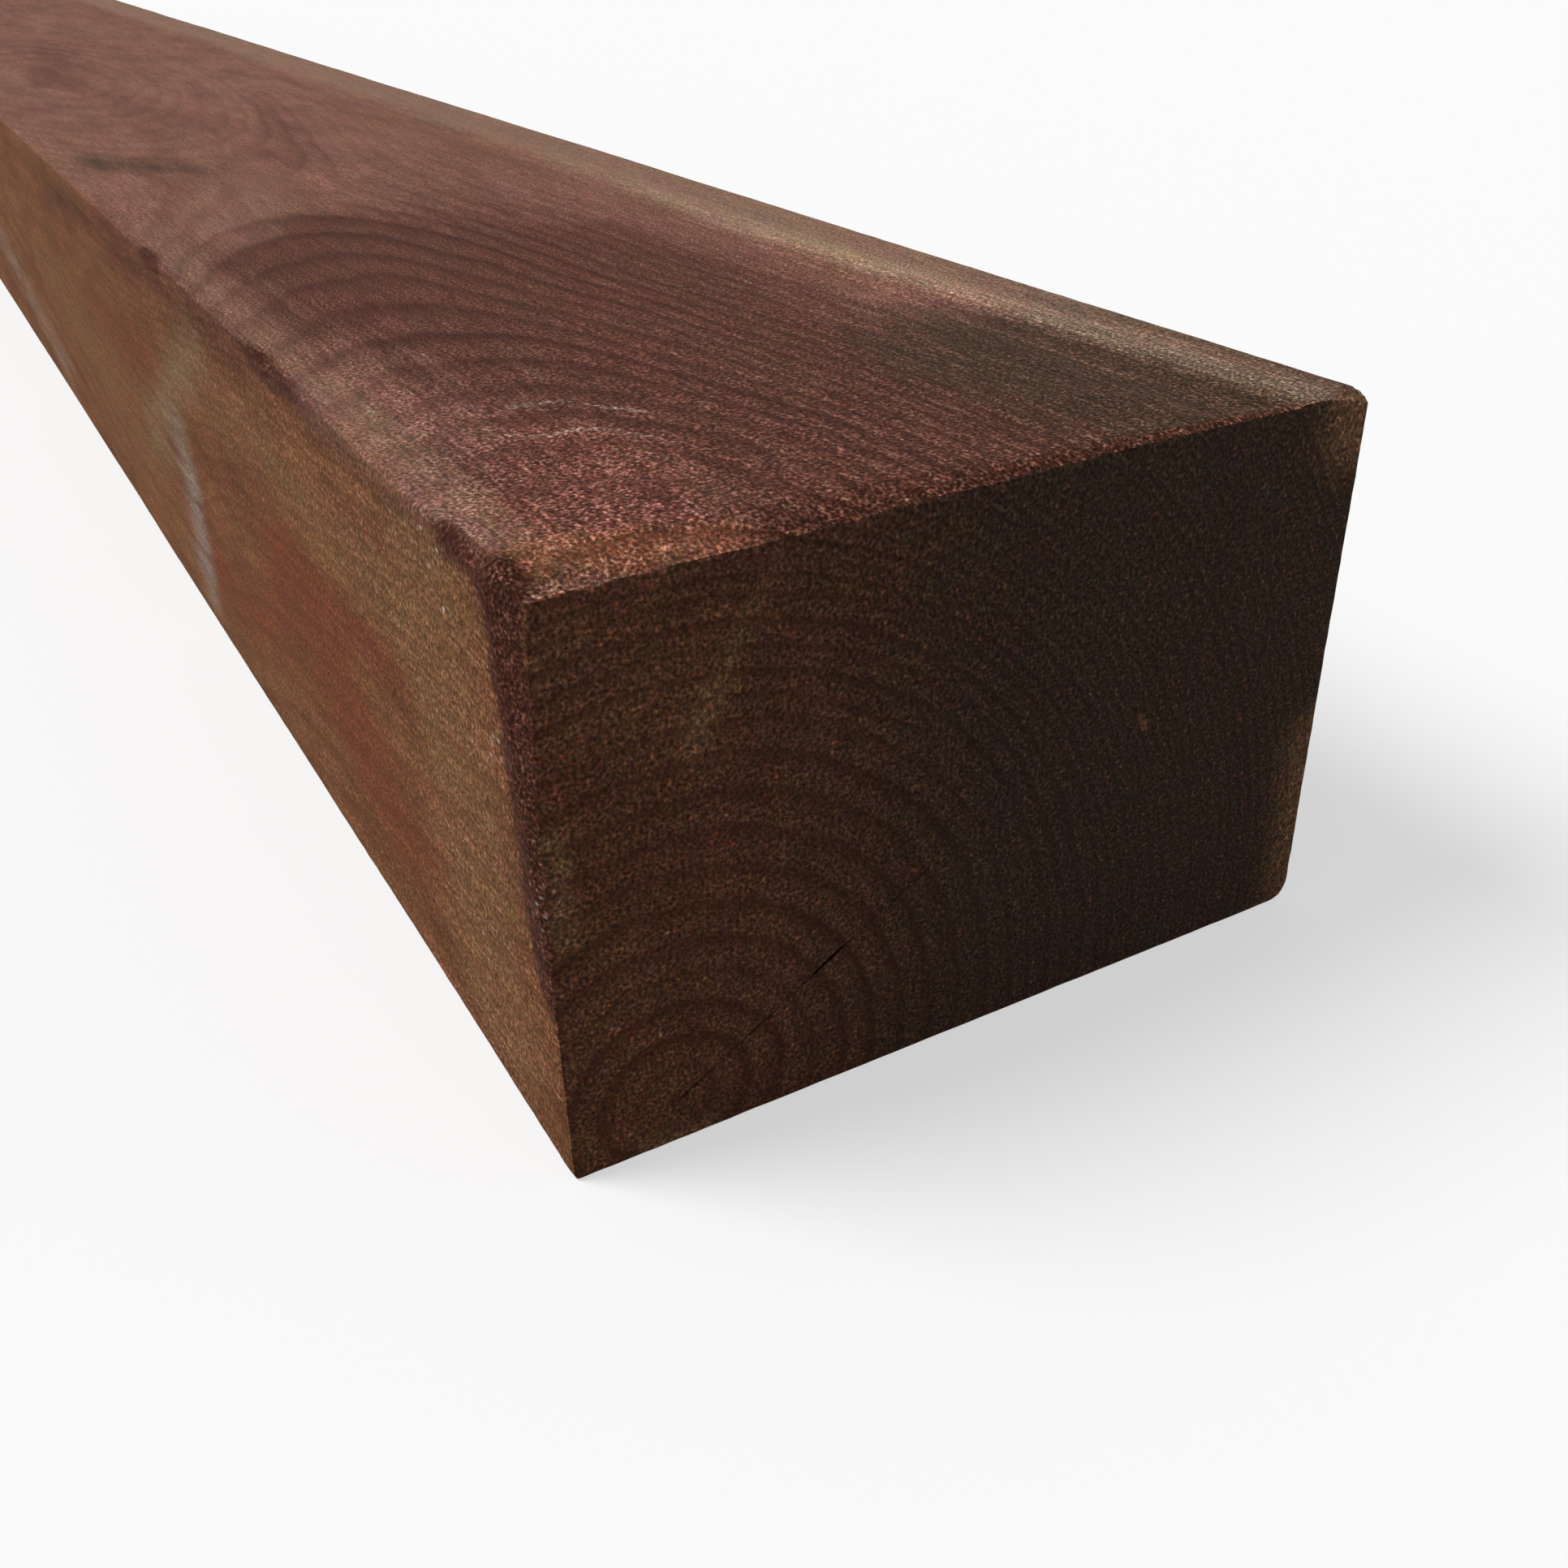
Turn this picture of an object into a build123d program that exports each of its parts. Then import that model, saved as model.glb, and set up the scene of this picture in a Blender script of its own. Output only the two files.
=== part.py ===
from build123d import *
import math
import os

# A sawn softwood sleeper: one length of timber, lying on its broad face.
# The origin is the middle of the underside, +X runs along the length to the worn end, and +Z is up.
# The near side is at -Y, and the far side is at +Y. All lengths are in millimetres.

# The timber as it is sold
LENGTH = 2400.0
WIDTH = 150.0
HEIGHT = 100.0

# Radius of each long arris. The far foot arris grew close to the bark and is the roundest.
NEAR_TOP_ARRIS = 1.0
NEAR_FOOT_ARRIS = 1.5
FAR_TOP_ARRIS = 2.0
FAR_FOOT_ARRIS = 5.0

# Wear on the end's upright arris: a flat that is widest at the top and runs out downwards
UPRIGHT_WEAR_ALONG_SIDE = 9.5
UPRIGHT_WEAR_ACROSS_END = 2.6
UPRIGHT_WEAR_DROP = 66.0

# Wear on the near top arris: a flat that is widest at the end and runs out along the timber
TOP_WEAR_ALONG_ARRIS = 44.0
TOP_WEAR_ACROSS_TOP = 3.6
TOP_WEAR_DROP = 4.4

# Wear on the far top corner of the same end: a low flat that is widest across the end
FAR_WEAR_ALONG_ARRIS = 4.0
FAR_WEAR_ACROSS_END = 12.0
FAR_WEAR_DROP = 2.4

# Wear along the end's top arris: a low flat that is widest at the near corner and runs out across the end
END_WEAR_ALONG_TIMBER = 10.0
END_WEAR_ACROSS_END = 140.0
END_WEAR_DROP = 3.6

# Two pieces torn out of the near top arris by handling
LONG_CHIP_FROM_END = 118.0
LONG_CHIP_LENGTH = 24.0
LONG_CHIP_DEPTH = 2.2
SHORT_CHIP_FROM_END = 228.0
SHORT_CHIP_LENGTH = 13.0
SHORT_CHIP_DEPTH = 1.4

# The pith shows in the worn end, low down and close to the near side
PITH_FROM_NEAR_SIDE = 18.6
PITH_ABOVE_FOOT = 8.1

# A radial shake opens from the pith, in separate splits on one line
SHAKE_SLOPE_DEGREES = 31.0
SHAKE_REACH = 54.0
SHAKE_WIDTH = 0.9
SHAKE_DEPTH = 60.0
# Each split: where it starts and ends along the reach, and its share of the full width and depth
SHAKE_SPLIT_SHARES = (
    (0.00, 0.12, 0.50),
    (0.23, 0.38, 0.60),
    (0.50, 0.70, 1.00),
    (0.86, 1.00, 0.40),
)

# How far a cutting shape stands out past the face that it cuts
OVERRUN = 2.0

near_corner = Vector(LENGTH / 2, -WIDTH / 2, HEIGHT)
far_corner = Vector(LENGTH / 2, WIDTH / 2, HEIGHT)


def sawn_baulk():
    """The full timber, with each long arris eased to its own radius."""
    arrises = (
        (-WIDTH / 2, HEIGHT, NEAR_TOP_ARRIS),
        (-WIDTH / 2, 0, NEAR_FOOT_ARRIS),
        (WIDTH / 2, HEIGHT, FAR_TOP_ARRIS),
        (WIDTH / 2, 0, FAR_FOOT_ARRIS),
    )
    with BuildSketch(Plane.YZ) as section:
        Rectangle(WIDTH, HEIGHT, align=(Align.CENTER, Align.MIN))
        for across, up, radius in arrises:
            corner = section.vertices().sort_by_distance((across, up))[0]
            fillet(corner, radius)
    return extrude(section.sketch, amount=LENGTH / 2, both=True)


def wear_corner(timber, corner, along, across, drop):
    """Take a flat off a top corner of the end, through three points at these distances from it."""
    outward = Vector(1 / along, math.copysign(1 / across, corner.Y), 1 / drop)
    flat = Plane(corner - Vector(along, 0, 0), z_dir=outward)
    return split(timber, bisect_by=flat, keep=Keep.BOTTOM)


def arris_chip(from_end, length, depth):
    """A shallow round scoop across the near top arris."""
    radius = (length**2 / 4 + depth**2) / (2 * depth)
    out_of_arris = Vector(0, -1, 1).normalized()
    deepest = near_corner - Vector(from_end, 0, 0) - out_of_arris * depth
    centre = deepest + out_of_arris * radius
    return Plane(centre, z_dir=(0, 1, 1)) * Cylinder(radius, 2 * radius)


def shake_split(start_share, end_share, size_share):
    """One split of the shake: a thin diamond in the end that runs to a point inside the timber."""
    slope = math.radians(SHAKE_SLOPE_DEGREES)
    pith = Vector(LENGTH / 2, PITH_FROM_NEAR_SIDE - WIDTH / 2, PITH_ABOVE_FOOT)
    end_plane = Plane(pith, x_dir=(0, math.cos(slope), math.sin(slope)), z_dir=(1, 0, 0))
    start = SHAKE_REACH * start_share
    end = SHAKE_REACH * end_share
    middle = (start + end) / 2
    half_width = SHAKE_WIDTH * size_share / 2
    with BuildSketch(end_plane) as mouth:
        with BuildLine():
            Polyline((start, 0), (middle, half_width), (end, 0), (middle, -half_width), close=True)
        make_face()
    outside = Vertex(*end_plane.from_local_coords((middle, 0, OVERRUN)))
    inside = Vertex(*end_plane.from_local_coords((middle, 0, -SHAKE_DEPTH * size_share)))
    return loft([outside, mouth.sketch.face(), inside], ruled=True)


sleeper = sawn_baulk()
worn_flats = (
    (near_corner, UPRIGHT_WEAR_ALONG_SIDE, UPRIGHT_WEAR_ACROSS_END, UPRIGHT_WEAR_DROP),
    (near_corner, TOP_WEAR_ALONG_ARRIS, TOP_WEAR_ACROSS_TOP, TOP_WEAR_DROP),
    (far_corner, FAR_WEAR_ALONG_ARRIS, FAR_WEAR_ACROSS_END, FAR_WEAR_DROP),
    (near_corner, END_WEAR_ALONG_TIMBER, END_WEAR_ACROSS_END, END_WEAR_DROP),
)
for worn_flat in worn_flats:
    sleeper = wear_corner(sleeper, *worn_flat)
sleeper -= arris_chip(LONG_CHIP_FROM_END, LONG_CHIP_LENGTH, LONG_CHIP_DEPTH)
sleeper -= arris_chip(SHORT_CHIP_FROM_END, SHORT_CHIP_LENGTH, SHORT_CHIP_DEPTH)
for split_shares in SHAKE_SPLIT_SHARES:
    sleeper -= shake_split(*split_shares)

os.makedirs("parts", exist_ok=True)
export_step(sleeper.solid(), os.path.join("parts", "sleeper.step"))
print("sleeper:", round(sleeper.volume), "cubic millimetres")
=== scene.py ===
# %% [markdown]
# # A sawn timber sleeper
# This lesson dresses one length of brown, pressure-treated softwood. The construction model gives its true
# size and place. This file adds what a saw, a treatment tank and years of handling leave on real timber:
# ragged arrises, growth rings, stains and torn fibres. Everything is in metres, in the construction
# model's own frame, so nothing has to be fitted afterwards.

# %% The frame and the size of the timber
import math

import bmesh
import bpy
import numpy as np
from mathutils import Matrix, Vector, noise


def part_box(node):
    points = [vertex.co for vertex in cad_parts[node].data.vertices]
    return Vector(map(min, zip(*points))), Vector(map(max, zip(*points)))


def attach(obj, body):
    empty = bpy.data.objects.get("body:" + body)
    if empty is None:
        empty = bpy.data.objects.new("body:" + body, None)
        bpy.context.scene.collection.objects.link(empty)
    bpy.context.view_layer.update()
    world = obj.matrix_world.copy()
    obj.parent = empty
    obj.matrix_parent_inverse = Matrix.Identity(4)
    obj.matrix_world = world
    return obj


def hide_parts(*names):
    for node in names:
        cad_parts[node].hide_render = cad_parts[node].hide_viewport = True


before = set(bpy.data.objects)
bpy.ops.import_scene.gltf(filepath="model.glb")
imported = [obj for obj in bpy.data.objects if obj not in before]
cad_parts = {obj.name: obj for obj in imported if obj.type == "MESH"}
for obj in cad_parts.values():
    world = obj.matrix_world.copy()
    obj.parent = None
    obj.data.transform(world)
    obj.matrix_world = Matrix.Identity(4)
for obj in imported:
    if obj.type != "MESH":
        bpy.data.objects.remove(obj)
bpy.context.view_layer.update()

MM = 0.001
low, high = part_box("sleeper")
LENGTH, WIDTH, HEIGHT = ((high - low) / MM)[:]
print(f"timber: {LENGTH:.0f} x {WIDTH:.0f} x {HEIGHT:.0f} mm")

# %% [markdown]
# ## Timber coordinates
# A sawyer measures from the end of the baulk, so this file does too. A place on the timber is given in
# millimetres as (into, across, up): how far into the timber from the worn end, how far across from the near
# side, and how far up from the underside. Two small functions go between that and Blender's metres.


# %% From millimetres on the timber to metres in the frame
def at(into, across, up):
    return Vector((high.x - into * MM, low.y + across * MM, low.z + up * MM))


def on_timber(point):
    return (high.x - point.x) / MM, (point.y - low.y) / MM, (point.z - low.z) / MM


print("top corner of the worn end:", [round(value, 4) for value in at(0, 0, HEIGHT)])

# %% [markdown]
# ## Camera
# The eye stands close to the worn end, a little to its left and above it, so the timber runs off steeply
# into the distance. The place was worked out from the slopes of the timber's long edges. A camera looks down
# its own -Z axis, and to_track_quat turns that axis at a target. A last small turn about it is the roll.

# %% The eye, what it looks at, and the lens
EYE = at(-171.9, -57.1, 175.2)
LOOKED_AT = at(0, 38.8, 59.6)
ROLL_DEGREES = -1.27
SENSOR_WIDTH_MM = 36.0
LENS_MM = 36.01
NEAREST_SEEN = 0.01

camera_data = bpy.data.cameras.new("camera")
camera_data.sensor_width = SENSOR_WIDTH_MM
camera_data.lens = LENS_MM
camera_data.clip_start = NEAREST_SEEN
camera = bpy.data.objects.new("camera", camera_data)
camera.location = EYE
camera.rotation_euler = (LOOKED_AT - EYE).to_track_quat("-Z", "Y").to_euler()
camera.rotation_euler.rotate_axis("Z", math.radians(ROLL_DEGREES))
bpy.context.scene.collection.objects.link(camera)
bpy.context.scene.camera = camera
bpy.context.scene.view_settings.view_transform = "Standard"
print(f"camera {(LOOKED_AT - EYE).length / MM:.0f} mm from the end, lens {LENS_MM} mm")

# %% [markdown]
# ## Colours and nodes
# Colours are picked as sRGB hex codes, but a shader works in linear light, so one function converts them.
# A second function adds any node: it takes the node's kind, what goes into its sockets, and its settings,
# and gives back the first output in use. A value that is a socket is linked, a hex code becomes a linear
# colour, and anything else is typed in as it is. The node goes into the tree at hand, which is named before
# each material is made.


# %% A colour function and a node function
def linear(code):
    """A hex code in linear light, by the two-part curve of the sRGB standard."""
    channels = [int(code[i : i + 2], 16) / 255 for i in (1, 3, 5)]
    return (*[c / 12.92 if c <= 0.04045 else ((c + 0.055) / 1.055) ** 2.4 for c in channels], 1.0)


def add(kind, sockets=None, **settings):
    node = tree.nodes.new(kind)
    for name, value in settings.items():
        setattr(node, name, value)
    for name, value in (sockets or {}).items():
        if isinstance(value, bpy.types.NodeSocket):
            tree.links.new(value, node.inputs[name])
        else:
            node.inputs[name].default_value = linear(value) if isinstance(value, str) else value
    return next((output for output in node.outputs if output.enabled), None)


def new_material(name):
    material = bpy.data.materials.new(name)
    material.use_nodes = True
    material.node_tree.nodes.clear()
    return material


print("a mid grey in linear light:", round(linear("#808080")[0], 3))

# %% [markdown]
# ## Floor and light
# The studio is a pale floor under a broad soft lamp. The lamp stands behind the timber and to its left, so
# the top and the near side are lit and the worn end stays in shade. A white floor would throw light back
# into that shade, so the floor is white only to the camera and to reflections, through the Light Path
# node, and a quiet grey to the light that bounces. It still takes the timber's shadow.


# %% Floor
def seen_directly():
    """1 for a ray from the camera, also through a reflection or clear glass, and 0 for bounced light."""
    rays = add("ShaderNodeLightPath").node.outputs
    seen = rays["Is Camera Ray"]
    for name in ("Is Glossy Ray", "Is Transmission Ray"):
        seen = add("ShaderNodeMath", {0: seen, 1: rays[name]}, operation="MAXIMUM")
    return seen


FLOOR_SIZE = 60.0
FLOOR_WHITE = "#FFFFFF"
FLOOR_BOUNCE = "#8C8A88"
FLOOR_GLOW_SHARE = 0.55

floor_mesh = bpy.data.meshes.new("floor")
floor_form = bmesh.new()
bmesh.ops.create_grid(floor_form, x_segments=1, y_segments=1, size=FLOOR_SIZE / 2)
floor_form.to_mesh(floor_mesh)
floor_form.free()
floor = bpy.data.objects.new("floor", floor_mesh)
bpy.context.scene.collection.objects.link(floor)

paper = new_material("studio_paper")
tree = paper.node_tree
white = add("ShaderNodeBsdfDiffuse", {"Color": FLOOR_WHITE})
glow = add("ShaderNodeEmission", {"Color": FLOOR_WHITE, "Strength": 1.0})
shown = add("ShaderNodeMixShader", {0: FLOOR_GLOW_SHARE, 1: white, 2: glow})
bounce = add("ShaderNodeBsdfDiffuse", {"Color": FLOOR_BOUNCE})
surface = add("ShaderNodeMixShader", {0: seen_directly(), 1: bounce, 2: shown})
add("ShaderNodeOutputMaterial", {"Surface": surface})
floor_mesh.materials.append(paper)
print("floor:", FLOOR_SIZE, "m square")

# %% Lamp and sky
LAMP_HEIGHT_DEGREES = 50.0
LAMP_BEHIND_DEGREES = 31.0
LAMP_SHARE = 0.80
LAMP_SOFTNESS_DEGREES = 30.0
SKY_SHARE = 0.304
SKY_TONE = "#FFFFFF"

height = math.radians(LAMP_HEIGHT_DEGREES)
behind = math.radians(LAMP_BEHIND_DEGREES)
to_lamp = Vector(
    (-math.sin(behind) * math.cos(height), -math.cos(behind) * math.cos(height), math.sin(height))
)
lamp_data = bpy.data.lights.new("soft_lamp", "SUN")
lamp_data.energy = LAMP_SHARE * math.pi
lamp_data.angle = math.radians(LAMP_SOFTNESS_DEGREES)
lamp = bpy.data.objects.new("soft_lamp", lamp_data)
lamp.rotation_euler = (-to_lamp).to_track_quat("-Z", "Y").to_euler()
bpy.context.scene.collection.objects.link(lamp)

sky = bpy.data.worlds.new("studio_sky")
sky.use_nodes = True
sky.node_tree.nodes.clear()
tree = sky.node_tree
strength = add("ShaderNodeMapRange", {"Value": seen_directly(), "To Min": SKY_SHARE, "To Max": 1.0})
backdrop = add("ShaderNodeBackground", {"Color": SKY_TONE, "Strength": strength})
add("ShaderNodeOutputWorld", {"Surface": backdrop})
bpy.context.scene.world = sky
print(f"lamp gives {LAMP_SHARE * math.sin(height):.2f} of white on the top, the sky {SKY_SHARE:.2f}")

# %% [markdown]
# ## The baulk
# The timber starts as one cube, cut into a fine net. Subdividing first along the length, then across, then
# upwards leaves plain quads on all six faces. The net is then drawn closer together where the eye is near and
# along the arrises, because that is where small damage shows.

# %% A cube cut into a net
STEPS = (250, 88, 62)
HALF_CUBE = 0.5

baulk = bmesh.new()
bmesh.ops.create_cube(baulk, size=1.0)
for axis, steps in enumerate(STEPS):
    spans = [e for e in baulk.edges if abs((e.verts[0].co - e.verts[1].co)[axis]) > HALF_CUBE]
    bmesh.ops.subdivide_edges(baulk, edges=spans, cuts=steps - 1, use_grid_fill=True)
print("baulk:", len(baulk.verts), "vertices,", len(baulk.faces), "quads")

# %% Closer steps near the ends and the arrises
NEAR_END_STEPS_SHARE = 0.84
NEAR_END_LENGTH_SHARE = 0.84
WORN_END_GROWTH = 32.0
PLAIN_END_GROWTH = 7.0
SECTION_GROWTH = 3.6
EDGE = 1e-6


def grown(share, growth):
    """A share from 0 to 1, with small steps at the start that grow to the end."""
    return (growth**share - 1) / (growth - 1)


def grown_along(share):
    """Small steps at the worn end, large ones in the middle, and smaller ones at the plain end."""
    if share < NEAR_END_STEPS_SHARE:
        return NEAR_END_LENGTH_SHARE * grown(share / NEAR_END_STEPS_SHARE, WORN_END_GROWTH)
    left = grown((1 - share) / (1 - NEAR_END_STEPS_SHARE), PLAIN_END_GROWTH)
    return 1 - (1 - NEAR_END_LENGTH_SHARE) * left


def grown_across(share):
    """Small steps at both arrises, and larger ones in the middle."""
    half = grown(1 - abs(1 - 2 * share), SECTION_GROWTH) / 2
    return half if share < HALF_CUBE else 1 - half


faces_of = {}
for vertex in baulk.verts:
    into, across, up = HALF_CUBE - vertex.co.x, HALF_CUBE + vertex.co.y, HALF_CUBE + vertex.co.z
    sides = ("worn_end", into < EDGE), ("plain_end", into > 1 - EDGE), ("near", across < EDGE)
    sides += ("far", across > 1 - EDGE), ("foot", up < EDGE), ("top", up > 1 - EDGE)
    faces_of[vertex] = {name for name, is_on in sides if is_on}
    vertex.co = at(
        LENGTH * grown_along(into),
        WIDTH * grown_across(across),
        HEIGHT * grown_across(up),
    )
first_step = LENGTH * grown_along(1 / STEPS[0])
last_step = LENGTH * (1 - grown_along(1 - 1 / STEPS[0]))
print(f"steps of {first_step:.2f} mm at the worn end and {last_step:.1f} mm at the plain end")

# %% [markdown]
# ## Arrises
# A saw leaves sharp arrises, and handling breaks them. Each long arris gets its own radius, which wanders
# along the timber. A square corner becomes round when a point's distance from the arc's centre is made equal
# to the longer of its two legs. The near top arris is the ragged one. The radii here, and the flats, chips
# and splits further on, repeat the sizes in the construction model, though the splits are not cut as deep.

# %% Round the long arrises
NEAR_TOP_ARRIS = 1.0
NEAR_FOOT_ARRIS = 1.5
FAR_TOP_ARRIS = 2.0
FAR_FOOT_ARRIS = 5.0
RAGGED_DEPTH = 1.0
RAGGED_LENGTHS = (5.0, 17.0)
RAGGED_SHORT_SHARE = 0.7
RAGGED_START = 0.1
WANDER_LENGTH = 55.0
WANDER_SHARE = 0.25


def drift(*place):
    """Smooth noise from -1 to 1 at a place."""
    return noise.noise(Vector(place))


def arris_radius(into, is_near, is_top):
    if is_near and is_top:
        short, long = (drift(into / step, step, step) for step in RAGGED_LENGTHS)
        return NEAR_TOP_ARRIS + RAGGED_DEPTH * max(0.0, short * RAGGED_SHORT_SHARE + long - RAGGED_START)
    radius = NEAR_FOOT_ARRIS if is_near else FAR_TOP_ARRIS if is_top else FAR_FOOT_ARRIS
    return radius * (1 + WANDER_SHARE * drift(into / WANDER_LENGTH, radius, radius))


for vertex in baulk.verts:
    into, across, up = on_timber(vertex.co)
    is_near, is_top = across < WIDTH / 2, up > HEIGHT / 2
    radius = arris_radius(into, is_near, is_top)
    side_leg = radius - (across if is_near else WIDTH - across)
    level_leg = radius - (HEIGHT - up if is_top else up)
    if side_leg > 0 and level_leg > 0:
        pull = max(side_leg, level_leg) / math.hypot(side_leg, level_leg)
        in_side = radius - side_leg * pull
        in_level = radius - level_leg * pull
        across = in_side if is_near else WIDTH - in_side
        up = HEIGHT - in_level if is_top else in_level
        vertex.co = at(into, across, up)
print("long arrises rounded")

# %% [markdown]
# ## Wear and chips
# The worn end has lost its two top corners. Four oblique flats describe that: one down the near upright
# arris, one along the near top arris, a low one at the far corner, and a long one on the end's top arris that
# runs out across the end. A point outside a flat is dropped square onto it. Two chips further along are
# shallow scoops, and a point in a scoop is pushed straight in from the arris.

# %% Worn flats on the top corners and the top arris of the worn end
WORN_FLATS = (
    # is it at the near corner, along the timber, across the end, down from the top
    (True, 9.5, 2.6, 66.0),
    (True, 44.0, 3.6, 4.4),
    (False, 4.0, 12.0, 2.4),
    (True, 10.0, 140.0, 3.6),
)
FLAT_ROUGHNESS = 0.10
FLAT_ROUGHNESS_SIZE = 3.0

for is_near, along, wide, deep in WORN_FLATS:
    slope = Vector((1 / along, 1 / wide, 1 / deep))
    for vertex in baulk.verts:
        into, across, up = on_timber(vertex.co)
        from_corner = Vector((into, across if is_near else WIDTH - across, HEIGHT - up))
        spot = (value / FLAT_ROUGHNESS_SIZE for value in (into, across, up))
        rough = FLAT_ROUGHNESS * drift(*spot)
        missing = 1 + rough - slope.dot(from_corner)
        if missing > 0:
            moved = from_corner + slope * (missing / slope.length_squared)
            vertex.co = at(moved.x, moved.y if is_near else WIDTH - moved.y, HEIGHT - moved.z)
print(len(WORN_FLATS), "worn flats")

# %% Chips out of the near top arris
CHIPS = (
    # middle from the worn end, length, depth
    (118.0, 24.0, 2.2),
    (228.0, 13.0, 1.4),
)
CHIP_ROUGHNESS = 0.35
CHIP_ROUGHNESS_LENGTH = 3.0

for middle, length, depth in CHIPS:
    radius = (length**2 / 4 + depth**2) / (2 * depth)
    for vertex in baulk.verts:
        into, across, up = on_timber(vertex.co)
        if abs(into - middle) < length / 2 and up > HEIGHT / 2:
            scoop = depth - radius + math.sqrt(radius**2 - (into - middle) ** 2)
            scoop *= 1 + CHIP_ROUGHNESS * drift(into / CHIP_ROUGHNESS_LENGTH, across, up)
            push = (scoop - (across + HEIGHT - up) / math.sqrt(2)) / math.sqrt(2)
            if push > 0:
                vertex.co = at(into, across + push, up - push)
print(len(CHIPS), "chips")

# %% [markdown]
# ## Sawn faces
# No sawn face is flat. Each point of a face sinks a little: in broad waves left by the wandering blade, and
# in fine fuzz where fibres were torn. Near the far edge of the top runs a shallow hollow. All moves go
# inwards, so the timber keeps its size. The ends' arrises are knocked back a little by the same means.

# %% Waves, fuzz and the hollow
WAVE_DEPTH = 0.35
WAVE_LENGTH = 160.0
WAVE_WIDTH = 60.0
FUZZ_DEPTH = 0.16
FUZZ_SIZE = 3.2
HOLLOW_FROM_FAR = 23.0
HOLLOW_HALF_WIDTH = 13.0
HOLLOW_DEPTH = 0.6
INWARD = {
    "worn_end": (1, 0, 0),
    "plain_end": (-1, 0, 0),
    "near": (0, 1, 0),
    "far": (0, -1, 0),
    "top": (0, 0, -1),
}

for vertex in baulk.verts:
    into, across, up = on_timber(vertex.co)
    place = Vector((into, across, up))
    wave = WAVE_DEPTH * (1 + drift(into / WAVE_LENGTH, across / WAVE_WIDTH, up / WAVE_WIDTH)) / 2
    fuzz = FUZZ_DEPTH * (1 + drift(into / FUZZ_SIZE, across / FUZZ_SIZE, up / FUZZ_SIZE)) / 2
    for name in faces_of[vertex] & INWARD.keys():
        sink = fuzz if name.endswith("end") else wave + fuzz
        if name == "top":
            reach = (WIDTH - HOLLOW_FROM_FAR - across) / HOLLOW_HALF_WIDTH
            if abs(reach) < 1:
                sink += HOLLOW_DEPTH * math.cos(reach * math.pi / 2) ** 2
        place += sink * Vector(INWARD[name])
    vertex.co = at(*place)
print("faces sunk by up to", WAVE_DEPTH + FUZZ_DEPTH + HOLLOW_DEPTH, "mm")

# %% Knocked arrises of the two ends
KNOCK_REACH = 3.0
KNOCK_DEPTH = 0.2
KNOCK_MORE_DEPTH = 0.7
KNOCK_LENGTH = 7.0
KNOCK_SLICE = 5.0
LEAST_KNOCKED = 0.15

for vertex in baulk.verts:
    into, across, up = on_timber(vertex.co)
    from_end = min(into, LENGTH - into)
    inset, inward, more = min(
        (across, (0, 1, 0), 1.0),
        (WIDTH - across, (0, -1, 0), LEAST_KNOCKED),
        (HEIGHT - up, (0, 0, -1), 1.0),
        (up, (0, 0, 1), LEAST_KNOCKED),
    )
    if from_end < KNOCK_REACH and inset < KNOCK_REACH:
        share = ((1 - from_end / KNOCK_REACH) * (1 - inset / KNOCK_REACH)) ** 2
        rough = max(0.0, drift(across / KNOCK_LENGTH, up / KNOCK_LENGTH, KNOCK_SLICE))
        knock = KNOCK_DEPTH + KNOCK_MORE_DEPTH * more * rough
        into += share * knock * (1 if into < LENGTH / 2 else -1)
        vertex.co = at(into, across, up) + Vector(inward) * share * knock * MM
print("end arrises knocked back by up to", KNOCK_DEPTH + KNOCK_MORE_DEPTH, "mm")

# %% [markdown]
# ## The shake
# As a log dries it splits outwards from the pith. On this end the shake shows as separate splits on one line.
# The net is too coarse for a split, so the faces near the line are first divided, then sliced along three
# parallel planes: one down the middle and one for each lip. The middle row is then pushed deep into the
# timber, the points beside it follow in proportion, and the lips close to a point at both tips of each split.

# %% Splits from the pith
PITH = (18.6, 8.1)
SHAKE_SLOPE = math.radians(31.0)
SHAKE_REACH = 54.0
SHAKE_WIDTH = 0.9
SHAKE_DEPTH = 14.0
SHAKE_SPLIT_SHARES = (
    # start and end along the reach, share of the full width and depth
    (0.00, 0.12, 0.50),
    (0.23, 0.38, 0.60),
    (0.50, 0.70, 1.00),
    (0.86, 1.00, 0.40),
)
SHAKE_MARGIN = 3.0
END_FACING = 0.8
SLICE_TOLERANCE = 1e-7

outwards = Vector((0, math.cos(SHAKE_SLOPE), math.sin(SHAKE_SLOPE)))
sideways = Vector((0, -math.sin(SHAKE_SLOPE), math.cos(SHAKE_SLOPE)))
pith_point = at(0, *PITH)


def along_shake(point):
    """How far out along the shake a point lies, and how far to its side, in millimetres."""
    return (point - pith_point).dot(outwards) / MM, (point - pith_point).dot(sideways) / MM


def faces_by_shake():
    baulk.normal_update()
    found = []
    for face in baulk.faces:
        if face.normal.x > END_FACING:
            out, aside = along_shake(face.calc_center_median())
            if -SHAKE_MARGIN < out < SHAKE_REACH + SHAKE_MARGIN and abs(aside) < SHAKE_MARGIN:
                found.append(face)
    return found


near_line = faces_by_shake()
lines = list({edge for face in near_line for edge in face.edges})
bmesh.ops.subdivide_edges(baulk, edges=lines, cuts=1, use_grid_fill=True)
for lip in (-1, 0, 1):
    near_line = faces_by_shake()
    geometry = set(near_line)
    for face in near_line:
        geometry.update(face.edges, face.verts)
    slice_point = pith_point + sideways * (lip * SHAKE_WIDTH / 2 * MM)
    bmesh.ops.bisect_plane(
        baulk, geom=list(geometry), dist=SLICE_TOLERANCE, plane_co=slice_point, plane_no=sideways
    )
print("faces by the shake:", len(faces_by_shake()))

# %% Open the splits
LIP_TOLERANCE = 0.01

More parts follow.
